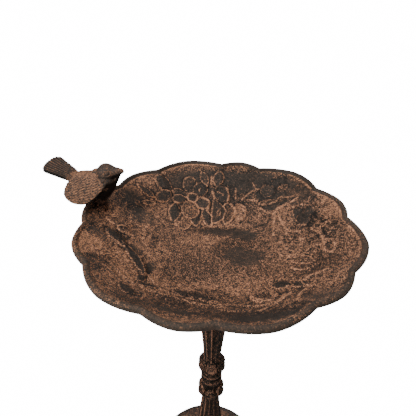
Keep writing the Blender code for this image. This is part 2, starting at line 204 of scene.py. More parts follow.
def ring_faces(counts):
    """Faces of a closed body whose rings of points, from pole to pole, have these counts."""
    faces = []
    starts = np.concatenate(([0], np.cumsum(counts))).astype(int).tolist()
    for here, there, first, second in zip(counts, counts[1:], starts, starts[1:]):
        if here == 1:
            faces.extend((first, second + k, second + (k + 1) % there) for k in range(there))
        elif there == 1:
            faces.extend((first + k, second, first + (k + 1) % here) for k in range(here))
        else:
            stitch(faces, first, second, here, there)
    return faces


# -------- bowl shape

def lobe_scale(angle):
    """Radius of the rim's outline as a share of R, at angles in radians. The casting is a little uneven."""
    first_start = LOBES[0][0]
    degrees = (np.degrees(angle) - first_start) % 360 + first_start
    radius = np.zeros(np.shape(angle))
    following = LOBES[1:] + ((first_start + 360, LOBES[0][1], 0),)
    for (start, notch, rise), (end, next_notch, _) in zip(LOBES, following):
        share = (degrees - start) / (end - start)
        lobe = notch + share * (next_notch - notch) + rise * (1 - np.abs(2 * share - 1) ** LOBE_POWER)
        radius = np.where((share >= 0) & (share < 1), lobe, radius)
    return radius / R


def inner_height(radius):
    share = np.clip((radius - FLOOR_RADIUS) / (CREVICE_RADIUS - FLOOR_RADIUS), 0, 1)
    return -CREVICE_DROP - (DEPTH - CREVICE_DROP) * (1 - share**WALL_CURVE)


def ring_angles(count):
    """Angles of a ring's points, closest together where the flowers are."""
    fine = np.linspace(0, TURN, 3601)
    away = np.abs((fine - FLOWER_SIDE + pi) % TURN - pi)
    density = 1 + 0.7 * (1 - ease(0.7, 1.5, away))
    share = np.concatenate(([0], np.cumsum((density[1:] + density[:-1]) / 2)))
    return np.interp(np.arange(count) / count, share / share[-1], fine)


def bowl_rings():
    """(count, radius, height) of each ring from the middle of the floor, over the rim, to the boss's hole."""
    rings = [(1, 0, inner_height(0))]
    for count, radii in ((50, (2, 4)), (100, (6, 8, 10)), (200, np.arange(12, 24, 1.5)),
                         (400, np.arange(24, 46, 1.1)), (800, np.arange(46.2, 125.2, 0.85))):
        rings += [(count, radius, inner_height(radius)) for radius in radii]
    bead = [(BEAD_START, -2.6), (0.9595, -1.9), (0.9625, -1.1), (0.967, -0.4), (0.973, -0.05), (0.979, 0)]
    bead += [(0.985, -0.15), (0.991, -0.6), (0.9955, -1.2), (0.999, -2.0), (1.0, -2.9), (1.0, -4.2)]
    bead += [(0.9975, -5.2), (0.991, -6.1), (0.980, -6.8)]
    rings += [(400, share * R, height) for share, height in bead]
    for count, radii in ((400, (124.5, 120, 115, 109, 103, 97, 91)),
                         (200, (84, 77, 70, 63, 56, 50, 44, 38, 33))):
        rings += [(count, radius, inner_height(radius) - WALL) for radius in radii]
    bottom = inner_height(0) - WALL
    mouth = bottom - BOSS_HEIGHT
    boss = [(29, bottom - 0.2), (27, bottom - 0.9), (25.6, bottom - 2.2), (25, bottom - 4)]
    boss += [(25, mouth + 0.6), (24.4, mouth), (12.3, mouth), (12.3, mouth + 4.3)]
    boss += [(ROD_BORE, mouth + 4.3), (ROD_BORE, mouth + 12)]
    rings += [(100, radius, height) for radius, height in boss]
    return rings + [(1, 0, mouth + 12)]


# -------- relief in the bowl

CURVE_STEPS = 5  # points for each span of a smooth curve


def curve(points, closed=False):
    """Points along a smooth curve through the given ones."""
    knots = [np.array(point, float) for point in points]
    count = len(knots)
    if not closed:
        knots = [2 * knots[0] - knots[1]] + knots + [2 * knots[-1] - knots[-2]]
    made = []
    for index in range(count if closed else count - 1):
        if closed:
            before, start, end, after = (knots[(index + k) % count] for k in (-1, 0, 1, 2))
        else:
            before, start, end, after = knots[index : index + 4]
        for share in np.arange(CURVE_STEPS) / CURVE_STEPS:
            made.append(0.5 * (2 * start + (end - before) * share
                               + (2 * before - 5 * start + 4 * end - after) * share**2
                               + (3 * start - before - 3 * end + after) * share**3))
    if not closed:
        made.append(knots[-2])
    return np.array(made)


def petal(base, tip, width, lean, fullness, bend):
    """Outline from base to tip. lean over 1 is widest near the tip, fullness under 1 has rounder ends."""
    base, tip = np.array(base, float), np.array(tip, float)
    along = tip - base
    across = np.array((-along[1], along[0])) / np.linalg.norm(along)
    share = (1 - np.cos(np.linspace(0, pi, 13))) / 2
    half = width / 2 * np.sin(pi * share**lean) ** fullness
    middle = base + share[:, None] * along + (bend * np.sin(pi * share))[:, None] * across
    return np.concatenate((middle + half[:, None] * across, (middle - half[:, None] * across)[-2:0:-1]))


def oval(centre, half_long, half_short, turn=0.0, count=24):
    angle = np.arange(count) * TURN / count
    x, y = half_long * np.cos(angle), half_short * np.sin(angle)
    c, s = cos(radians(turn)), sin(radians(turn))
    return np.stack((centre[0] + x * c - y * s, centre[1] + x * s + y * c), axis=1)


def distance_to(points, path, closed=False):
    """Distance of each point to a path, with a minus sign inside a closed one."""
    nearest = np.full(len(points), 1e9)
    inside = np.zeros(len(points), bool)
    ends = np.roll(path, -1, axis=0) if closed else path[1:]
    for start, end in zip(path, ends):
        edge = end - start
        offset = points - start
        share = np.clip(offset @ edge / max(edge @ edge, 1e-9), 0, 1)
        nearest = np.minimum(nearest, np.linalg.norm(offset - share[:, None] * edge, axis=1))
        if closed and start[1] != end[1]:
            crosses = (start[1] > points[:, 1]) != (end[1] > points[:, 1])
            reach = start[0] + edge[0] * (points[:, 1] - start[1]) / edge[1]
            inside ^= crosses & (points[:, 0] < reach)
    return np.where(inside, -nearest, nearest)


class Relief:
    """Height in mm, share of rust and plainness at points of the bowl, built up shape by shape."""

    def __init__(self, points):
        wobble = [0.55 * fractal(points, 6, 2, seed) for seed in (11, 23)]
        self.points = points + np.stack(wobble, axis=1) + (0, 1.8)
        self.height = 0.30 * fractal(points, 9, 3, 5) + 0.16 * fractal(points, 2.6, 2, 6)
        self.rust = 0.07 * fractal(points, 26, 3, 7)
        self.plain = np.zeros(len(points))

    def near(self, path, margin):
        low, high = path.min(axis=0) - margin, path.max(axis=0) + margin
        return np.nonzero(np.all((self.points > low) & (self.points < high), axis=1))[0]

    def shape(self, outline, rise, fill, edge=0.5, lip=0.5, ribs=0, rib_turn=90):
        """A raised, domed patch with a rusty lip round it and a groove outside that."""
        chosen = self.near(outline, 3)
        points = self.points[chosen]
        gap = distance_to(points, outline, closed=True)
        inside = ease(0.5, -0.5, gap)
        dome = rise * (1 - np.exp(np.minimum(gap, 0) / 1.8))
        if ribs:
            turn = radians(rib_turn)
            across = points @ np.array((-sin(turn), cos(turn)))
            dome += 0.28 * np.cos(TURN * across / ribs)
        outline_peak = peak(gap, 0.8)
        height = self.height[chosen] * (1 - 0.8 * inside) + dome * inside
        self.height[chosen] = height + (lip * outline_peak - 0.5 * peak(gap - 1.4, 0.8))
        rust = mix(self.rust[chosen], fill, inside)
        edge = edge * (0.95 + 0.35 * fractal(points, 6, 2, 37))
        smooth = 0.5 * inside * (fill < -0.15)
        plain = np.maximum(self.plain[chosen] * (1 - inside), smooth)
        self.plain[chosen] = plain * (1 - 0.85 * peak(gap, 0.9))
        self.rust[chosen] = rust + edge * outline_peak - 0.22 * peak(gap - 1.7, 0.8)

    def leaf(self, base, tip, width, rise, fill=-0.3, lean=1, fullness=0.7, bend=0, **finish):
        self.shape(petal(base, tip, width, lean, fullness, bend), rise, fill, **finish)

    def line(self, points, width=1.5, rise=0.7, rust=0.36, closed=False):
        path = curve(points, closed)
        chosen = self.near(path, width + 1)
        gap = distance_to(self.points[chosen], path, closed)
        ridge = peak(np.abs(gap), 0.6 * width)
        self.height[chosen] += rise * ridge
        self.rust[chosen] = np.maximum(self.rust[chosen], mix(self.rust[chosen], rust, ridge))
        self.plain[chosen] *= 1 - 0.9 * ridge

    def spread(self, centre, wide, deep):
        """Squared distance from the middle of an oval with these half sizes: 1 on its outline."""
        offset = (self.points - np.array(centre)) / np.array((wide, deep))
        return np.sum(offset**2, axis=1)

    def stain_and_shading(self, x, y, wide, deep, rust):
        """A soft-edged ragged patch of more or less rust. A few such patches are painted shade, and one is
        painted light.
        """
        ragged = self.spread((x, y), wide, deep) + 0.55 * fractal(self.points, 7, 3, 31)
        self.rust += rust * ease(1.3, 0.55, ragged)

    def smear(self, x, y, wide, deep):
        """A soft-edged patch of even dark finish."""
        ragged = self.spread((x, y), wide, deep) + 0.6 * fractal(self.points, 8, 3, 33)
        self.plain = np.maximum(self.plain, 0.55 * ease(1.25, 0.6, ragged))

    def coral(self, centre, wide, deep, cell=5.0, rise=0.8, rust=0.4, seed=40):
        """A maze of wandering ridges."""
        share = ease(1.1, 0.6, self.spread(centre, wide, deep))
        ridge = peak(noise(self.points, cell, seed), 0.16)
        ridge = np.maximum(ridge, peak(noise(self.points, 0.7 * cell, seed + 1), 0.14))
        self.height += rise * share * (ridge - 0.4)
        self.rust += rust * share * (ridge - 0.35)


# Areas of the finish: middle x and y, half width, half depth and, in the second table, how much more rust. A
# few entries in the second table are painted light and shade, as marked.
SMEARS = (
    (36, 104, 20, 12), (66, 94, 22, 14), (88, 76, 14, 14), (-58, 92, 14, 9), (-93, 62, 14, 12),
    (-80, 42, 12, 10), (6, 38, 26, 6), (30, 34, 16, 9), (28, -2, 24, 15), (86, 50, 10, 9), (-98, 22, 10, 7),
    (-76, -4, 8, 8), (-60, -30, 5, 10), (-112, -12, 9, 6), (40, -106, 26, 7), (84, -84, 14, 7),
    (-30, -100, 18, 5), (-22, 112, 26, 9), (14, 114, 26, 8), (46, 113, 22, 8), (-48, 102, 14, 9),
)
STAINS_AND_SHADING = (
    (-96, 54, 16, 13, -0.24), (-90, 38, 13, 9, -0.08), (-98, 2, 13, 7, -0.3), (-82, -12, 13, 7, -0.32),
    (-64, -36, 6, 14, -0.36), (-121, -10, 10, 9, -0.34), (-102, -54, 12, 16, -0.2), (24, 8, 28, 22, -0.13),
    (2, 40, 34, 8, -0.14), (-30, -26, 30, 22, -0.09), (18, 104, 66, 24, -0.17), (-20, 88, 46, 26, -0.07),
    (68, 91, 26, 18, -0.18), (74, 26, 14, 12, -0.12), (-72, 12, 14, 14, -0.15), (94, -36, 22, 16, -0.09),
    (-8, -64, 20, 14, -0.17), (62, -70, 18, 12, -0.2), (10, 112, 62, 11, -0.07), (-116, -26, 8, 12, 0.08),
    (-103, 62, 8, 9, 0.16), (92, 46, 12, 16, -0.18), (40, -104, 66, 9, -0.14), (0, -100, 84, 15, -0.13),
    # (-72, -20) on the next line is painted light: it lightens the left wall.
    (104, 6, 16, 44, -0.15), (-72, -20, 24, 40, 0.12), (98, 62, 20, 24, -0.09), (0, -92, 92, 26, -0.05),
    # (30, 33) and (-2, 42) on the next line are painted shade: the dark band at the foot of the far wall.
    (-68, -62, 30, 22, 0.1), (30, 33, 15, 7, -0.2), (-2, 42, 30, 5, -0.1), (24, -4, 24, 15, -0.03),
    (-14, 22, 18, 11, 0.13), (-96, -8, 30, 44, 0.07), (-20, 98, 62, 26, -0.03), (112, -20, 14, 30, 0.06),
    (-64, -80, 13, 8, -0.15), (-40, 66, 40, 26, -0.05), (-116, -29, 15, 21, 0.2), (22, -52, 46, 22, 0.07),
    (-83, -80, 24, 18, 0.07), (-27, -112, 34, 8, 0.12), (81, 7, 22, 30, 0.1), (-95, 82, 20, 16, 0.13),
    (116, 52, 12, 26, 0.16), (62, -72, 26, 16, 0.12), (4, 52, 22, 5, 0.16), (-74, 16, 8, 30, 0.18),
    (-98, 14, 16, 10, 0.08), (-20, -52, 50, 9, 0.08), (102, -60, 14, 22, 0.08), (-112, 26, 10, 10, 0.14),
    (-62, 60, 16, 14, 0.14),
)


def lay_flowers(relief):
    """The two daisies and their leaves at the back of the bowl."""
    leaf, shape, line = relief.leaf, relief.shape, relief.line
    leaf((-54, 88), (-74, 98), 15, 1.1)
    leaf((-55, 85), (-70, 71), 13, 1.1, -0.2)
    leaf((-72, 73), (-92, 81), 7, 0.8, -0.2)
    leaf((-70, 66), (-84, 60), 6, 0.7, -0.1)
    line([(-76, 95), (-70, 88), (-65, 83)])
    leaf((-38, 66), (-38, 39), 18, 1, 0, 1.2, 0.6, ribs=2.6)
    leaf((-48, 75), (-49, 48), 12, 1.5, -0.3, 1.1, 0.8)
    leaf((-25, 76), (-24, 47), 11, 1.3, -0.22, 1.3, 0.7, ribs=2.4)
    leaf((-16, 74), (-8, 48), 10.5, 1.3, -0.2, 1, 0.8)
    line([(-13, 71), (-6, 63), (-5, 55), (-7, 48)], 1.7)
    leaf((-32, 90), (-36, 113), 17, 1.5, -0.2, 1.2, 0.55, ribs=2.6)
    leaf((-36, 88), (-53, 88), 11.5, 1.4, -0.22, 1.2, 0.55)
    leaf((-36, 83), (-53, 78), 10, 1.4, -0.2, 1.2, 0.55)
    leaf((-27, 89), (-17, 107), 16, 1.6, -0.28, 1.1, 0.5)
    line([(-23, 96), (-21, 99)], rust=0.3)
    leaf((-26, 84), (-10, 78), 16, 1.5, -0.2, 1.1, 0.45)
    line([(-19, 88), (-12, 85), (-10, 79), (-12, 71)], 2.4, 1, 0.46)
    leaf((-31, 81), (-32, 57), 20, 1.5, -0.02, 1.1, 0.45, ribs=2.6)
    shape(oval((-30, 86), 5, 5), 1.9, -0.3, 0.1)
    line(oval((-30, 86), 6, 6), 1.8, 1.3, 0.42, closed=True)

    leaf((-13, 103), (-22, 121), 9, 1.1, -0.16, 1.2)
    leaf((-4, 103), (2, 119), 13, 1.2, -0.2, 1.2, 0.55)
    line([(-9, 103), (-9, 108), (-9, 114)], 2.4, 1.2, 0.46)
    shape(curve([(-4, 101), (9, 102), (12, 94), (11, 85), (3, 86), (-5, 89)], True), 1.5, -0.28)
    line([(-1, 95), (5, 92)], rise=0.5, rust=0.3)
    line([(9, 102), (12, 94), (11, 85)], 2, 0.8, 0.44)
    shape(oval((-8, 99), 5, 2.4), -1.2, -0.34, 0.1, 0.1)
    line([(-8, 97), (-6, 92), (-5, 87)], 2.4, 0.9, 0.44)
    shape(curve([(20, 79), (27, 80), (32, 71), (29, 61), (21, 56)], True), 1.5, 0.17, 0.2)
    shape(curve([(7, 80), (16, 81), (20, 70), (15, 58), (7, 55)], True), 1.5, -0.1, ribs=2.4)
    line([(15, 81), (19.5, 71), (15, 58)], 1.8, rust=0.42)
    shape(curve([(-6, 84), (3, 81), (8, 74), (8, 67), (4, 59), (-6, 55)], True), 1.7, -0.2, ribs=3.2)
    line([(-1, 64), (0, 69), (2, 73)], rise=0.5, rust=0.34)
    line([(2, 65), (3, 69)], rise=0.4, rust=0.3)


def lay_branches(relief):
    """Twigs, buds and leaves from the right of the flowers round to the front."""
    leaf, shape, line = relief.leaf, relief.shape, relief.line
    line([(20, 102), (20, 95), (20, 88)], 1.4)
    line([(27, 86), (33, 91), (44, 96), (55, 101)], 1.6)
    line([(44, 96), (39, 104)], 1.2, rust=0.3)
    line([(33, 84), (38, 84), (43, 83)], 1.5)
    shape(oval((57, 94), 8, 7.5), 0.8, -0.2, 0.12)
    leaf((66, 92), (79, 98), 9, 0.6, -0.12, edge=0.12)
    shape(curve([(48, 74), (64, 77), (82, 77), (70, 69), (58, 66)], True), 1.2, -0.26, 0.2)
    leaf((46, 79), (66, 79), 7, 1.3, -0.1, edge=0.4)
    line([(66, 79), (70, 83), (80, 80), (88, 80)], 1.8)
    line([(61, 61), (69, 68), (80, 71), (88, 74)], 2.3, 1, 0.46)
    line([(46, 74), (52, 67), (62, 61), (62, 54), (59, 31)], 1.6, 0.8)
    line([(38, 66), (43, 57), (47, 50)], 1.2)
    shape(oval((49, 48), 2.6, 1.6, count=12), -1.8, -0.6, 0, 0.1)
    line([(67, 57), (69, 46), (75, 32), (82, 27)], 1.9, 0.8, 0.4)
    for step in range(4):
        line([(72 + 3 * step, 61 - step), (73 + 3 * step, 48), (78 + 3 * step, 37 - step)], 1, 0.5, 0.24)
    line([(75, 64), (88, 62), (98, 58)], 1.3)
    shape(oval((90.5, 43.5), 6.5, 9.5, -15), 1.3, -0.3, 0.16)
    shape(oval((97, 52), 5, 6), 1.2, -0.26, 0.16)
    relief.coral((83, 8), 26, 34)
    relief.coral((104, 18), 14, 20, cell=6, seed=51)
    line([(96, 26), (102, 12), (103, -2), (101, -14)], 1.8, 0.9, 0.42)
    line(oval((106, -8), 4.5, 10), 1.8, 0.9, 0.4, closed=True)
    line([(101, 22), (107, 25), (114, 27)], 1.5)
    leaf((71, -12), (90, -24), 12, 1.2, -0.08, bend=1.5, ribs=3.0, rib_turn=-30)
    leaf((70, -24), (88, -32), 10, 1.1, -0.1, ribs=3.0, rib_turn=-25)
    leaf((50, -50), (66, -51), 12, 1.4, -0.34, 0.8, 0.9, edge=0.3)
    leaf((66, -52), (80, -60), 9, 1.2, -0.28, edge=0.24)
    line([(73, -53), (82, -47), (91, -45), (98, -44)], 2, 0.9, 0.44)
    line([(73, -53), (76, -60), (80, -63)], 1.6)
    line([(76, -66), (70, -72), (64, -87)], 1.9, 0.8, 0.42)
    shape(oval((41, -67), 11, 9.5), 1.2, 0.08, 0.34)
    line(oval((41, -67), 7.5, 6), 1.4, 0.6, 0.32, closed=True)
    for x, y in ((36, -65), (41, -63), (46, -66), (39, -69), (44, -70)):
        shape(oval((x, y), 1.4, 1.4, count=12), 0.6, -0.3, 0, 0)
    line([(24, -82), (40, -83), (52, -78), (58, -69)], 1.9, 0.8, 0.4)
    line([(33, -93), (46, -86), (56, -76), (64, -66)], 1.6, 0.7, 0.38)
    line([(-6, -76), (4, -79), (14, -79), (22, -80)], 1.5)
    line([(4, -90), (16, -92), (30, -90)], 1.3, rust=0.26)


def lay_left(relief):
    """The small bird, long leaf and leaflets on the left and at the front."""
    leaf, shape, line = relief.leaf, relief.shape, relief.line
    leaf((-88, 24), (-112, 18), 13, 1.4, 0.02, 0.8, edge=0.25)
    shape(oval((-94, 13), 6, 5), 1.6, -0.1)
    leaf((-108, 2), (-88, -8), 12, 1.6, -0.26, 1, 0.6, edge=0.3)
    for step in range(3):
        bend = 2.2 * step
        line([(-98 + bend, -10 - step), (-81 + bend, -16 - step), (-69 + bend / 2, -29), (-66 + step, -41),
              (-67 + step, -55)], 1.3, 0.8, 0.34)
    leaf((-92, -7), (-62, -50), 10, 1.2, -0.34, 1, 0.9, bend=5, edge=0.2)
    line([(-86, -9), (-74, -20), (-66, -36), (-62, -52)], 1.2, 0.7, 0.36)
    shape(oval((-65, -53), 3.4, 5), 1, -0.34, 0.1)
    line([(-62, -44), (-57, -47), (-53, -54)], 1.4)
    leaf((-66, -62), (-50, -62), 5, 0.9, -0.34, edge=0.2)
    line([(-112, -30), (-100, -38), (-88, -50), (-74, -62), (-56, -70)], 1.5, 0.6, 0.3)
    line([(-106, -52), (-90, -58), (-76, -70), (-62, -76)], 1.3, 0.5, 0.28)
    relief.coral((-96, -32), 17, 15, 4.5, 0.6, 0.28, 61)
    leaf((-78, -72), (-64, -86), 9, 1, -0.24, edge=0.14)
    line([(-62, -74), (-56, -79), (-57, -92)], 1.6, 0.7, 0.36)
    leaf((-36, -62), (-22, -64), 7, 1.1, -0.3, edge=0.2)
    leaf((-22, -66), (-4, -68), 7, 1.1, -0.3, edge=0.2)
    line([(-48, -62), (-30, -69), (-12, -73), (2, -74)], 1.5)
    line([(-29, -60), (-27, -55), (-22, -58)], 1.4)
    for x, y in ((-44, -76), (-36, -80), (-28, -80), (-19, -78)):
        leaf((x - 3, y + 1), (x + 3, y - 1), 4, 0.8, -0.26, edge=0.24)
    line([(-62, -66), (-44, -72), (-24, -76), (-6, -82), (10, -84)], 1.3, 0.6, 0.3)
    relief.coral((-90, 44), 12, 12, 4.5, 0.5, 0.2, 66)
    relief.coral((-74, 22), 9, 26, 4.2, 0.6, 0.28, 71)
    line(oval((-88, 56), 2.4, 2.4), 1.2, 0.5, 0.22, closed=True)


# -------- materials

def node_tree(owner):
    owner.use_nodes = True
    return owner.node_tree


def set_inputs(tree, node, inputs):
    """Set a node's inputs to plain values, or link them to other nodes' outputs."""
    for name, value in inputs.items():
        if isinstance(value, bpy.types.NodeSocket):
            tree.links.new(value, node.inputs[name])
        else:
            node.inputs[name].default_value = value


def add_node(tree, kind, inputs, **settings):
    node = tree.nodes.new("ShaderNode" + kind)
    for name, value in settings.items():
        setattr(node, name, value)
    set_inputs(tree, node, inputs)
    return node


def colour_ramp(tree, value, stops):
    """Colours by value, from stops of (position, colour)."""
    ramp = add_node(tree, "ValToRGB", {"Fac": value})
    elements = ramp.color_ramp.elements
    while len(elements) < len(stops):
        elements.new(0.5)
    for element, (position, colour) in zip(elements, stops):
        element.position = position
        element.color = colour + (1,)
    return ramp.outputs["Color"]


def finish(tree, colour, roughness, bump, values):
    """Join a colour and nodes for the roughness and the bumps to the shader, and set its plain values."""
    inputs = {"Base Color": colour, "Roughness": add_node(tree, "MapRange", roughness).outputs["Result"],
              "Normal": add_node(tree, "Bump", bump).outputs["Normal"]}
    set_inputs(tree, tree.nodes["Principled BSDF"], inputs | values)


def iron(name, dark=DARK, brown=BROWN, rust=RUST, grain=900, contrast=1.0, specular=0.2):
    """Sand-cast iron: brown-black, with rusty powder where the mesh's attribute "rust" is high. In places
    that attribute also holds painted shade, where it is low, and painted highlights, where it is high.

    Where the attribute "plain" is near 1 the finish is even, and elsewhere it is speckled.
    """
    material = bpy.data.materials.new(name)
    tree = node_tree(material)
    place = add_node(tree, "TexCoord", {}).outputs["Object"]

    def speckle(scale, detail, roughness):
        inputs = {"Scale": scale, "Detail": detail, "Roughness": roughness, "Vector": place}
        return add_node(tree, "TexNoise", inputs).outputs["Fac"]

    def sum_of(first, second, factor):
        """first + factor * (second - 0.5)"""
        total = add_node(tree, "Math", {0: second, 1: factor, 2: first}, operation="MULTIPLY_ADD")
        return add_node(tree, "Math", {0: total.outputs[0], 1: 0.5 * factor}, operation="SUBTRACT").outputs[0]

    share = add_node(tree, "Attribute", {}, attribute_name="rust").outputs["Fac"]
    plain = add_node(tree, "Attribute", {}, attribute_name="plain").outputs["Fac"]
    fine = speckle(grain, 2, 0.7)
    middle = speckle(grain / 3.5, 3, 0.6)
    uneven = add_node(tree, "Math", {0: plain, 1: -1, 2: 1}, operation="MULTIPLY_ADD").outputs[0]
    speckles = sum_of(sum_of(share, fine, 2.9 * contrast), middle, 0.9 * contrast)
    value = add_node(tree, "Mix", {"Factor": uneven, "A": share, "B": speckles}).outputs["Result"]
    stops = [(position, tuple(min(strength * part, 1) for part in colour)) for position, colour, strength in (
        (0.02, dark, 0.3), (0.20, dark, 0.8), (0.42, dark, 1.3), (0.53, brown, 1.0), (0.70, rust, 0.6),
        (1.0, rust, 1.15))]
    finish(tree, colour_ramp(tree, value, stops), {
        "Value": value, "From Min": 0.2, "From Max": 0.8, "To Min": 0.58, "To Max": 0.9,
    }, {"Strength": 0.5, "Distance": 0.0006, "Height": sum_of(fine, middle, 1.0)}, {
        "Metallic": 0.25, "Specular IOR Level": specular})
    return material


def steel(name):
    """Zinc-plated steel with faint turning marks and dull spots."""
    material = bpy.data.materials.new(name)
    tree = node_tree(material)
    place = add_node(tree, "TexCoord", {}).outputs["Object"]
    spots = add_node(tree, "TexNoise", {"Scale": 420, "Detail": 4, "Vector": place}).outputs["Fac"]
    marks = add_node(tree, "TexWave", {"Scale": 900, "Distortion": 2, "Vector": place}, wave_type="RINGS",
                     rings_direction="Z")
    colour = colour_ramp(tree, spots, [(0.3, (0.24, 0.23, 0.21)), (0.65, (0.5, 0.49, 0.46))])
    finish(tree, colour, {"Value": spots, "To Min": 0.3, "To Max": 0.55},
           {"Strength": 0.12, "Distance": 0.0002, "Height": marks.outputs["Fac"]}, {"Metallic": 1.0})
    return material


# -------- bowl

def make_bowl(material):
    rings = bowl_rings()
    counts, radii, heights = zip(*rings)
    radius = np.repeat(radii, counts)
    height = np.repeat(heights, counts)
    order = np.repeat(np.arange(len(rings)), counts)
    angle = np.concatenate([ring_angles(count) for count in counts])
    top_ring = heights.index(0)
    scale = 1 + ease(0.45 * R, R, radius) * (lobe_scale(angle) - 1)
    place = around(radius * scale, angle, height)
    across = place[:, :2].copy()

    inner = (order <= top_ring) & (radius < BEAD_START * R)
    relief = Relief(across[inner])
    for stain_and_shading in STAINS_AND_SHADING:
        relief.stain_and_shading(*stain_and_shading)
    for smear in SMEARS:
        relief.smear(*smear)
    lay_left(relief)
    lay_branches(relief)
    lay_flowers(relief)
    reach = radius[inner]
    share = reach / R
    carved = ease(0.955, 0.925, share) * (0.25 + 0.75 * ease(0.34, 0.44, share))
    slope = (inner_height(reach + 0.05) - inner_height(reach - 0.05)) / 0.1
    steep = np.sqrt(1 + slope**2)
    outward = across[inner] / np.maximum(np.linalg.norm(across[inner], axis=1), 1e-6)[:, None]
    lift = relief.height * carved
    place[inner, :2] -= outward * (lift * slope / steep)[:, None]
    place[inner, 2] += lift / steep

    rust = np.full(len(place), 0.34)
    crevice = peak(share - 0.952, 0.013)
    broken = ease(-0.5, 0.4, noise(across[inner], 16, 90))
    rust[inner] = 0.425 - 0.035 * ease(0.4, 0.6, share) + relief.rust + 0.28 * crevice * broken
    smooth = relief.plain * (1 - crevice)
    rust[inner] = mix(rust[inner], 0.46 + 0.2 * relief.rust, smooth)
    rim = (order <= top_ring + BEAD_OUTSIDE) & ~inner
    plain = np.zeros(len(place))
    plain[inner] = smooth
    left_side = np.clip(-across[rim, 0] / R, 0, 1)
    patchy = ease(0.0, 0.7, fractal(place[rim], 20, 3, 91) + 0.9 * left_side - 0.25)
    plain[rim] = 0.8 - 0.5 * patchy
    # Painted shade: the bead's underside, from 4.6 mm below the rim's plane down, is darker.
    rust[rim] = 0.465 + 0.05 * fractal(place[rim], 5, 3, 95) - 0.28 * ease(-4.6, -6.6, height[rim])
    # Painted sheen: the far side of the rim is greyer, with less rust and a more even finish.
    far_rim_sheen = ease(0.1, 0.6, across[rim, 1] / R)
    outer_side = ease(-0.5, -2.2, height[rim]) * (order[rim] > top_ring)
    rust[rim] -= 0.09 * far_rim_sheen
    plain[rim] = np.maximum(plain[rim], 0.85 * np.maximum(far_rim_sheen, outer_side))
    under = ~inner & ~rim
    place[under] += (0.15 * fractal(place[under], 8, 2, 92) * (radius[under] > 30))[:, None] * (0, 0, 1)
    rust[under] = 0.20 + 0.10 * fractal(place[under], 20, 3, 93)
    rust[under] -= 0.10 * ease(105, 124, radius[under])

    mesh = new_mesh("bowl", place, ring_faces(counts), (AXIS.x, AXIS.y, RIM))
    add_piece("bowl_shell", mesh, material, ["bowl"], "bowl_iron", rust=rust, plain=plain)


def make_seat_lug(material):
    """The cone under the rim that the bird's screw goes through."""
    profile = [(4.6, -17), (5, -16.8), (5.25, -16.2), (5.4, -14), (5.6, -11), (5.8, -8), (6, -5)]
    profile += [(6.2, -3.2), (6.1, -2.7), (5.8, -2.5)]
    bore = 2.3
    profile = [(bore, -17)] + profile + [(bore, height) for height in (-2.5, -6, -10, -14)]
    mesh = loop_mesh("seat_lug", turned(profile, 48)[0], 48, SEAT)
    points = np.array([vertex.co for vertex in mesh.vertices]) / MM
    rust = 0.34 + 0.1 * fractal(points, 5, 2, 94)
    add_piece("bowl_seat_lug", mesh, material, ["bowl"], "bowl_iron", rust=rust)


# -------- bird, in mm ahead, left and up of SEAT

WING_ROWS = (
    ((14, 5.5, 29.5), (1, 5.5, 31), (-13, 5, 30), (-26, 5, 28)),
    ((14, 12, 24), (-2, 14.5, 21), (-16, 14, 20.5), (-31, 13, 19)),
    ((-1, 20.5, 7.5), (-11, 22, 4), (-22, 22, 4.5), (-31, 20, 12)),
)
TAIL_ROOT = (-20, 21.5)
TAIL_PITCH = radians(27)
EYE = (13.2, 35.0)


def add_round(shape, centre, half_sizes, pitch=0):
    made = bmesh.ops.create_uvsphere(shape, u_segments=48, v_segments=32, radius=1)["verts"]
    bmesh.ops.scale(shape, vec=half_sizes, verts=made)
    turn = Matrix.Rotation(radians(-pitch), 4, "Y")
    bmesh.ops.transform(shape, matrix=Matrix.Translation(centre) @ turn, verts=made)


def add_cone(shape, start, end, start_radius, end_radius):
    start, end = Vector(start), Vector(end)
    made = bmesh.ops.create_cone(shape, cap_ends=True, segments=40, radius1=start_radius,
                                 radius2=end_radius, depth=(end - start).length)["verts"]
    turn = Vector((0, 0, 1)).rotation_difference(end - start).to_matrix().to_4x4()
    bmesh.ops.transform(shape, matrix=Matrix.Translation((start + end) / 2) @ turn, verts=made)


def add_wing(shape, side):
    cage = bpy.data.meshes.new("wing")
    points = [(x, side * y, z) for row in WING_ROWS for x, y, z in row]
    faces = []
    for row, column in itertools.product(range(2), range(3)):
        corner = 4 * row + column
        faces.append((corner, corner + 1, corner + 5, corner + 4)[::-side])
    cage.from_pydata(points, [], faces)
    sheet = new_object("wing", cage)
    thicken = sheet.modifiers.new("Thickness", "SOLIDIFY")
    thicken.thickness = 3.2
    thicken.offset = 0
    soften = sheet.modifiers.new("Soften", "SUBSURF")
    soften.levels = 3
    shape.from_mesh(sheet.evaluated_get(bpy.context.evaluated_depsgraph_get()).to_mesh())
    bpy.data.objects.remove(sheet)


def add_tail(shape):
    """A fan of thin iron that rises from the rump."""
    half = curve([(-2, 7.4), (10, 10), (22, 12.9), (29.5, 14.8), (33.2, 13.4), (35.2, 7), (35.6, 0)])
    outline = np.concatenate((half, (half * (1, -1))[-2::-1]))
    inward = np.array((17, 0)) - outline
    inward /= np.linalg.norm(inward, axis=1)[:, None]
    rings = []
    for inset, height in ((1.0, -2.4), (0.25, -2.1), (0, -1.2), (0, 0.5), (0.25, 1.2), (1.0, 1.5)):
        rings.append([shape.verts.new((x, y, height)) for x, y in outline + inward * inset])
    for lower, upper in zip(rings, rings[1:]):
        for k in range(len(outline)):
            j = (k + 1) % len(outline)
            shape.faces.new((lower[k], lower[j], upper[j], upper[k]))
    shape.faces.new(rings[-1])
    shape.faces.new(rings[0][::-1])
    backwards = Matrix.Rotation(pi, 4, "Z")
    lift = Matrix.Rotation(TAIL_PITCH, 4, "Y")
    move = Matrix.Translation((TAIL_ROOT[0], 0, TAIL_ROOT[1]))
    made = [vertex for ring in rings for vertex in ring]
    bmesh.ops.transform(shape, matrix=move @ lift @ backwards, verts=made)


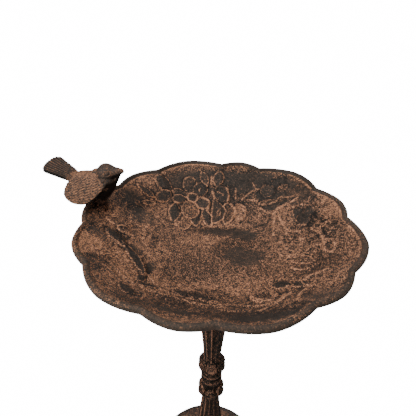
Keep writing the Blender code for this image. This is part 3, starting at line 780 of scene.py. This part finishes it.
def bird_form():
    """The bird's smooth form as one closed mesh, in mm."""
    shape = bmesh.new()
    add_round(shape, (-10, 0, 19), (21, 11, 11.5), pitch=3)
    add_round(shape, (1, 0, 19), (13.5, 10, 17))
    add_round(shape, (9, 0, 31.6), (10.2, 9.6, 10.1))
    add_cone(shape, (9, 0, 31.8), (26.8, 0, 36.3), 9.3, 1.9)
    add_cone(shape, (24.2, 0, 34.9), (7.6, 0, 18), 1.1, 9.2)
    add_round(shape, (9.5, 0, 26), (9.2, 10.9, 8.5))
    add_cone(shape, (0, 0, -2.2), (0, 0, 8), 5.6, 5.6)
    add_wing(shape, -1)
    add_wing(shape, 1)
    add_tail(shape)
    bmesh.ops.recalc_face_normals(shape, faces=shape.faces)
    mesh = bpy.data.meshes.new("bird_form")
    shape.to_mesh(mesh)
    shape.free()
    form = new_object("bird_form", mesh)
    remesh = form.modifiers.new("Remesh", "REMESH")
    remesh.mode = "VOXEL"
    remesh.voxel_size = 0.42
    smooth = form.modifiers.new("Smooth", "SMOOTH")
    smooth.factor = 0.5
    smooth.iterations = 7
    whole = bpy.data.meshes.new_from_object(form.evaluated_get(bpy.context.evaluated_depsgraph_get()))
    bpy.data.objects.remove(form)
    return whole


def feathers(points, normals):
    """Rows of short strokes over the wings: (height, share of the wing)."""
    x, y, z = points[:, 0], np.abs(points[:, 1]), points[:, 2]
    sideways = np.sign(points[:, 1]) * normals[:, 1]
    faces_out = ease(0.05, 0.45, 0.55 * sideways + 0.83 * normals[:, 2])
    down = np.hypot(y - 4, 29 - z)
    wing = faces_out * ease(1.0, 4.0, y) * ease(18, 13, x + 0.35 * down) * (z < 33)
    row = x / 6.4 + 0.012 * down
    column = down / 2.5 + 0.5 * (np.floor(row) % 2) + 0.2 * x
    stroke = (0.5 + 0.5 * np.cos(TURN * column)) ** 1.4 * np.sin(pi * (row % 1)) ** 0.5
    inner = ease(2, 6, down) * ease(-31, -27, x) * ease(29, 25, down)
    return (0.6 * stroke - 0.2) * wing * inner, wing


def make_bird(material):
    mesh = bird_form()
    points = np.array([vertex.co for vertex in mesh.vertices])
    normals = np.array([vertex.normal for vertex in mesh.vertices])
    x, y, z = points.T

    strokes, wing = feathers(points, normals)
    height = 0.10 * fractal(points, 2.4, 2, 3) + strokes
    rust = mix(0.36 + 0.14 * fractal(points, 9, 3, 4), 0.50 + 0.10 * fractal(points, 8, 3, 8), wing)
    rust += 0.42 * strokes * (1 + 0.5 * noise(points, 3, 12))
    back = ease(0.3, 0.7, normals[:, 2]) * ease(4.5, 2, np.abs(y)) * ease(3, -1, x)
    rust += 0.17 * back

    turn_x, turn_z = -cos(TAIL_PITCH), sin(TAIL_PITCH)
    along = (x - TAIL_ROOT[0]) * turn_x + (z - TAIL_ROOT[1]) * turn_z
    above = (x - TAIL_ROOT[0]) * turn_z - (z - TAIL_ROOT[1]) * turn_x
    fan = ease(9, 13, along) * (np.abs(above) < 3.4)
    spread = y / (6.4 + 0.22 * np.maximum(along, 0))
    ridge = np.cos(TURN * 3.6 * spread)
    height += 0.42 * fan * ridge * ease(0.3, 0.6, np.abs(above) / 1.6)
    rust = mix(rust, 0.33 + 0.22 * ridge + 0.06 * fractal(points, 6, 2, 9), fan)
    # Painted shade: the tail's side edges are darker.
    tail_side_shade = fan * ease(0.5, 0.8, np.abs(normals[:, 1])) * (above < 1.3)
    rust -= 0.4 * tail_side_shade

    forward = x + 0.45 * (z - 30)  # the head's back edge leans
    head = ease(3.5, 7.5, forward) * ease(19.5, 23.5, z)
    rust = mix(rust, 0.41 + 0.10 * fractal(points, 4, 2, 14), head)
    plain = 0.4 * head + 0.35 * fan
    height -= 0.3 * peak(forward - 3.6, 1.1) * ease(23, 28, z)
    rust += 0.08 * ease(17, 23, x) * head
    # Painted shade: the breast's down-facing surfaces lose their rust and go near black.
    breast_shade = ease(0.1, -0.25, normals[:, 2]) * ease(-16, 0, x)
    rust *= 1 - breast_shade

    gap = np.sqrt((x - EYE[0]) ** 2 + (1.25 * (z - EYE[1])) ** 2)
    cheek = (np.abs(y) > 3) * head
    height += cheek * (0.3 * peak(gap - 3.1, 0.55) - 0.35 * np.exp(-((gap / 2.6) ** 4)))
    height += cheek * 0.6 * np.sqrt(np.clip(1 - (gap / 1.7) ** 2, 0, 1))
    rust += cheek * 0.15 * peak(gap - 3.1, 0.6) - cheek * 0.02 * (gap < 2.4)
    mouth = peak(z - (33.2 + 0.27 * (x - 14)), 0.45) * ease(15.5, 18, x) * (np.abs(y) > 0.3)
    height -= 0.2 * mouth
    nape = head * ease(11, 7, x) * (0.5 + 0.5 * np.cos(TURN * (z + 0.4 * x) / 1.7))
    height += 0.14 * nape * (np.abs(y) > 3)

    points += normals * height[:, None]
    turn = Matrix.Rotation(BIRD_HEADING, 3, "Z")
    points = points @ np.array(turn).T * MM + np.array(SEAT)
    mesh.vertices.foreach_set("co", points.ravel())
    mesh.shade_smooth()
    mesh.name = "bird"
    add_piece("bird_figure", mesh, material, ["bird"], "bird_iron", rust=rust, plain=plain)


# -------- stem and base

STEM_POINTS = 144
SHAFT_MARGIN = 8  # from the shaft's wide end to the end of the visible casting, mm
SHAFT_RADIUS = 22.2
SPIGOT = 4  # how far a stem half goes into the bowl's boss or the base, mm
STEM_BORE = 5
UPPER_BULBS = (  # distance from the waist and outer radius, mm
    (0, 10.6), (0.9, 11), (2.2, 12.3), (4.5, 13.2), (6.5, 13.3), (8.5, 12.8), (10.3, 11.6), (11.3, 10.9),
    (12.5, 11), (14.5, 12.6), (17, 15.4), (19.5, 16.7), (22, 16.9), (26, 15), (30, 12), (33, 11),
    (36, 10.7), (41, 10.7),
)
LOWER_BULBS = (
    (0, 10.6), (0.9, 11), (2, 12.1), (4, 13.1), (6, 13.2), (8, 12.8), (10, 11.8), (11.5, 11), (13, 11),
    (16, 11.2), (18.5, 12.4), (21, 14.8), (24, 16.6), (27.5, 16.8), (31, 15.3), (34, 13.2), (37, 11.8),
    (40, 11.2), (44, 11),
)


def stem_radius(distance, length, bulbs):
    places, radii = zip(*bulbs)
    start = places[-1]
    share = np.clip((distance - start) / (length - SHAFT_MARGIN - start), 0, 1)
    shaft = radii[-1] + (SHAFT_RADIUS - radii[-1]) * share**1.04
    return np.where(distance < start, np.interp(distance, places, radii), shaft)


def make_stem_half(name, node, waist, up, inner_end, material):
    """up is 1 for the upper half and -1 for the lower. inner_end is the bore's loop at the waist."""
    # shift is how much further from the waist the bulb is, and lit is where the painted highlight on the side
    # toward the key lamp fades in. The last two numbers are extra rust on the bulbs' front and painted shade
    # in the neck under the leaf tips.
    if up > 0:
        bulbs, shift, phase, lit, front_rust, neck_shade = UPPER_BULBS, 0, 95, (0.3, 0.8), 0.26, 0.25
    else:
        bulbs, shift, phase, lit, front_rust, neck_shade = LOWER_BULBS, 3, 125, (0.6, 0.95), 0.08, 0.1
    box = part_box(node)
    outer = box[1][2] if up > 0 else box[0][2]
    length = abs(outer - waist) / MM - SPIGOT
    angle = np.arange(STEM_POINTS) * TURN / STEM_POINTS
    lobe_angle = (angle + radians(120)) % (pi / 3) - pi / 6  # 0 in the middle of each lobe
    # Painted highlight: the shaft's lines are lighter on the side toward the key lamp.
    lit_side_highlight = 0.3 + 0.7 * ease(*lit, np.cos(angle - radians(222)))
    front = ease(0.75, 0.93, np.cos(angle - radians(266)))
    arris = np.abs((angle + radians(phase)) % (pi / 6) / (pi / 6) - 0.5) * 2
    groove = (1 - arris**2.2) ** 0.8
    seam = peak(pi / 6 - np.abs(lobe_angle), 0.075)
    tip = 16.6 + 0.4 * shift + 22 * lobe_angle**2
    shaft_rings = np.linspace(41, length - SHAFT_MARGIN, 50)
    distances = np.concatenate((np.arange(0, 12.6, 0.6), np.arange(12.8, 41, 0.8), shaft_rings))
    rings, rusts = [], []
    for distance in distances:
        radius = np.full(STEM_POINTS, stem_radius(distance, length, bulbs))
        shaft = ease(30 + shift, 34 + shift, distance)
        shaft *= ease(length - 8.5, length - 12, distance)
        radius *= 1 - 0.115 * shaft * groove
        bulb = ease(-1.0, 1.4, distance - tip) * ease(33 + shift, 27.5 + shift, distance)
        lobed = radius * (1 + 0.035 * np.cos(6 * lobe_angle) - 0.12 * seam)
        neck = np.minimum(radius, 11.0 - 0.5 * np.cos(18 * angle))
        inside_tip = (distance > 11.4) & (distance < 21 + shift)
        rings.append(mix(neck if inside_tip else radius, lobed, bulb))
        lip = peak(distance - 5.2, 1.9)
        edge = peak(distance - tip - 0.4, 1.1) * (distance < 21 + shift)
        line = ease(0.72, 0.98, arris) * shaft
        rust = 0.20 + 0.66 * line * lit_side_highlight + 0.36 * lip
        # The bulbs are rustier towards the front.
        rust += (0.04 + front_rust * front) * bulb * (1 - seam)
        rust += 0.24 * edge - 0.2 * (distance < 1.4)
        # Painted shade: the neck inside the bulb's leaf tips is darker.
        rusts.append(rust - neck_shade * inside_tip * (1 - bulb))
    collar = [(22.1, 7.4), (22.0, 6.2), (22.1, 5.2), (22.4, 4.4), (22.5, 3.4), (22.5, 1.4), (22.1, 0.5)]
    collar += [(21.4, 0), (12, 0), (12, 0.4 - SPIGOT), (11.6, -SPIGOT), (STEM_BORE, -SPIGOT)]
    collar += [(STEM_BORE, depth) for depth in (10, 40, 80, 110)]
    ends = [(radius, length - depth) for radius, depth in collar] + inner_end
    for radius, _ in ends:
        rings.append(np.full(STEM_POINTS, radius))
        rusts.append(np.full(STEM_POINTS, 0.26))
    levels = np.concatenate((distances, [distance for _, distance in ends]))
    points = around(np.concatenate(rings), np.tile(angle, len(rings)), np.repeat(up * levels, STEM_POINTS))
    rust = np.concatenate(rusts) + 0.10 * fractal(points, 14, 3, 55)
    points[:, :2] *= 1 + 0.006 * fractal(points, 3, 2, 56)[:, None]
    mesh = loop_mesh(name, points, STEM_POINTS, (AXIS.x, AXIS.y, waist), up)
    add_piece(name, mesh, material, [node], "stem_iron", rust=rust)


BASE_POINTS = 288
LEAF_RINGS = 48


def make_base(material):
    """A flared foot with twelve leaf-like lobes round it."""
    size = (base_high.x - base_low.x) / 2 / MM
    hub = base_high.z / MM
    recess = hub - 4.3
    ceiling = hub - 10
    profile = [(12.3, hub), (20, hub), (25, hub), (25.7, hub - 0.4), (26, hub - 1), (26.6, hub - 3)]
    profile += [(29, hub - 5)]
    neck_rings = len(profile)
    span = np.linspace(0.42, 0.9, LEAF_RINGS)
    dome = np.interp(span, (0.41, 0.53, 0.71, 0.9), (40, 30, 20, 13.5))
    profile += [(share * size, height) for share, height in zip(span, dome)]
    profile += [(0.93 * size, 12.6), (0.965 * size, 11.2), (0.985 * size, 9.8), (0.995 * size, 8.6)]
    profile += [(size, 7.4), (size, 4), (size, 0.8), (size - 0.8, 0), (size - 5, 0), (size - 5, 4)]
    profile += [(0.89 * size, 8), (0.78 * size, 11.6), (0.68 * size, 15), (0.59 * size, 19.4)]
    profile += [(0.5 * size, 24), (0.44 * size, 28.4), (0.38 * size, 33), (26, ceiling), (15, ceiling)]
    profile += [(ROD_BORE, ceiling), (ROD_BORE, hub - 7), (ROD_BORE, recess), (8, recess), (12.3, recess)]
    points, radius, angle = turned(profile, BASE_POINTS)
    index = np.repeat(np.arange(len(profile)), BASE_POINTS)
    top = (index >= neck_rings) & (index < neck_rings + LEAF_RINGS)
    lobe = (angle + radians(95)) % (pi / 6) / (pi / 6)
    from_middle = np.abs(lobe - 0.5) * 2
    share = radius / size
    reach = ease(0.42, 0.5, share) * ease(0.92, 0.86, share)
    leaf = top * reach * ease(0.0, 0.05, 0.9 - 0.13 * from_middle**2 - share)
    seam = peak(1 - from_middle, 0.12)
    vein = peak(from_middle, 0.07)
    fine = 0.5 + 0.5 * np.cos(TURN * lobe * 7)
    points[:, 2] += leaf * (0.9 * (1 - from_middle**2) - 1.0 * seam + 0.5 * vein + 0.2 * fine)
    points[:, 2] += top * 0.16 * fractal(points, 4, 2, 61)
    rust = 0.26 + top * (0.09 + 0.15 * fractal(points, 12, 3, 62))
    rust += leaf * (0.22 * fine + 0.2 * vein - 0.12 * seam)
    underside = 0.24 + 0.08 * fractal(points, 16, 2, 63)
    rust = np.where(index > neck_rings + LEAF_RINGS, underside, rust)
    mesh = loop_mesh("base", points, BASE_POINTS, AXIS)
    add_piece("base_dome", mesh, material, ["base"], "base_iron", rust=rust)


cast_bowl = iron("cast_bowl", grain=950, contrast=1.38)
make_bowl(cast_bowl)
make_seat_lug(cast_bowl)
make_bird(iron("cast_bird", (0.040, 0.032, 0.027), (0.15, 0.086, 0.057), grain=1300, contrast=0.75))
cast_stem = iron("cast_stem", (0.015, 0.013, 0.010), (0.080, 0.048, 0.034), (0.52, 0.26, 0.16), grain=1100,
                 contrast=1.1, specular=0.1)
waist_spigot = [(STEM_BORE, 0), (STEM_BORE, -6), (7.2, -6), (7.5, -5.7), (7.5, -3), (7.5, 0)]
waist_socket = [(STEM_BORE, 10), (STEM_BORE, 6.3), (7.8, 6.3), (7.8, 3), (7.8, 0)]
make_stem_half("stem_upper", "upper_stem", WAIST + WAIST_PLAY, 1, waist_spigot, cast_stem)
make_stem_half("stem_lower", "lower_stem", WAIST - WAIST_PLAY, -1, waist_socket, cast_stem)
make_base(iron("cast_base", rust=(0.52, 0.26, 0.155), contrast=0.9))

zinc = steel("zinc")
for node in ("tie_rod", "base_washer", "base_lock_washer", "base_nut", "bird_washer", "bird_lock_washer",
             "bird_screw"):
    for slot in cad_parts[node].material_slots:
        slot.material = zinc


# -------- floor, light and camera

def show_instead(tree, real, seen, output):
    """Let real light the object, while the camera itself sees only seen."""
    camera_ray = add_node(tree, "LightPath", {}).outputs["Is Camera Ray"]
    both = add_node(tree, "MixShader", {"Fac": camera_ray, 1: real, 2: seen})
    tree.links.new(both.outputs["Shader"], tree.nodes[output].inputs["Surface"])


def make_floor():
    mesh = bpy.data.meshes.new("floor")
    corners = [(x, y, -0.2 * MM) for x, y in ((-20, -20), (20, -20), (20, 20), (-20, 20))]
    mesh.from_pydata(corners, [], [(0, 1, 2, 3)])
    material = bpy.data.materials.new("paper")
    tree = node_tree(material)
    shader = tree.nodes["Principled BSDF"]
    set_inputs(tree, shader, {"Base Color": (0.45, 0.45, 0.45, 1), "Roughness": 0.9})
    glow = add_node(tree, "Emission", {"Strength": BACKDROP_STRENGTH})
    show_instead(tree, shader.outputs["BSDF"], glow.outputs["Emission"], "Material Output")
    mesh.materials.append(material)
    floor = new_object("floor", mesh)


def add_light(name, place, size, power, aim_height):
    """A round lamp turned to a point on the stem's axis. Lengths are in metres."""
    light = bpy.data.lights.new(name, "AREA")
    light.shape = "DISK"
    light.size = size
    light.energy = power
    lamp = new_object(name, light)
    lamp.location = place
    direction = Vector((AXIS.x, AXIS.y, aim_height)) - Vector(place)
    lamp.rotation_euler = direction.to_track_quat("-Z", "Y").to_euler()


make_floor()
add_light("key", (-0.95, -0.95, 1.45), 0.6, 28, RIM)
add_light("fill", (0.25, 0.2, 1.9), 0.9, 13, RIM)
add_light("front", (-0.35, -1.7, 0.5), 0.9, 3, WAIST)
add_light("back", (0.3, 1.7, 0.3), 0.9, 7, WAIST)
add_light("side", (1.7, -0.1, 0.25), 0.9, 2, WAIST)


def make_world():
    """Soft light from all round, in front of a white backdrop."""
    world = bpy.data.worlds.new("studio")
    tree = node_tree(world)
    soft = tree.nodes["Background"]
    set_inputs(tree, soft, {"Color": (1, 1, 1, 1), "Strength": 0.2})
    backdrop = add_node(tree, "Background", {"Color": (1, 1, 1, 1), "Strength": BACKDROP_STRENGTH})
    show_instead(tree, soft.outputs["Background"], backdrop.outputs["Background"], "World Output")
    bpy.context.scene.world = world


make_world()

lens = bpy.data.cameras.new("camera")
lens.sensor_width = 36
lens.lens = lens.sensor_width * 400 / 416  # a focal length of 400 pixels in a frame 416 wide
lens.clip_start = 0.01
camera = new_object("camera", lens)
# The camera's axes and place, solved from the rim and the base in the photograph
right = Vector((0.99889, 0.04230, 0.02080))
up = Vector((-0.03989, 0.52330, 0.85121))
back = right.cross(up)
turn = Matrix((right, up, back)).transposed().to_4x4()
camera.matrix_world = Matrix.Translation((AXIS.x, AXIS.y - 0.31727, RIM + 0.20896)) @ turn
bpy.context.scene.camera = camera
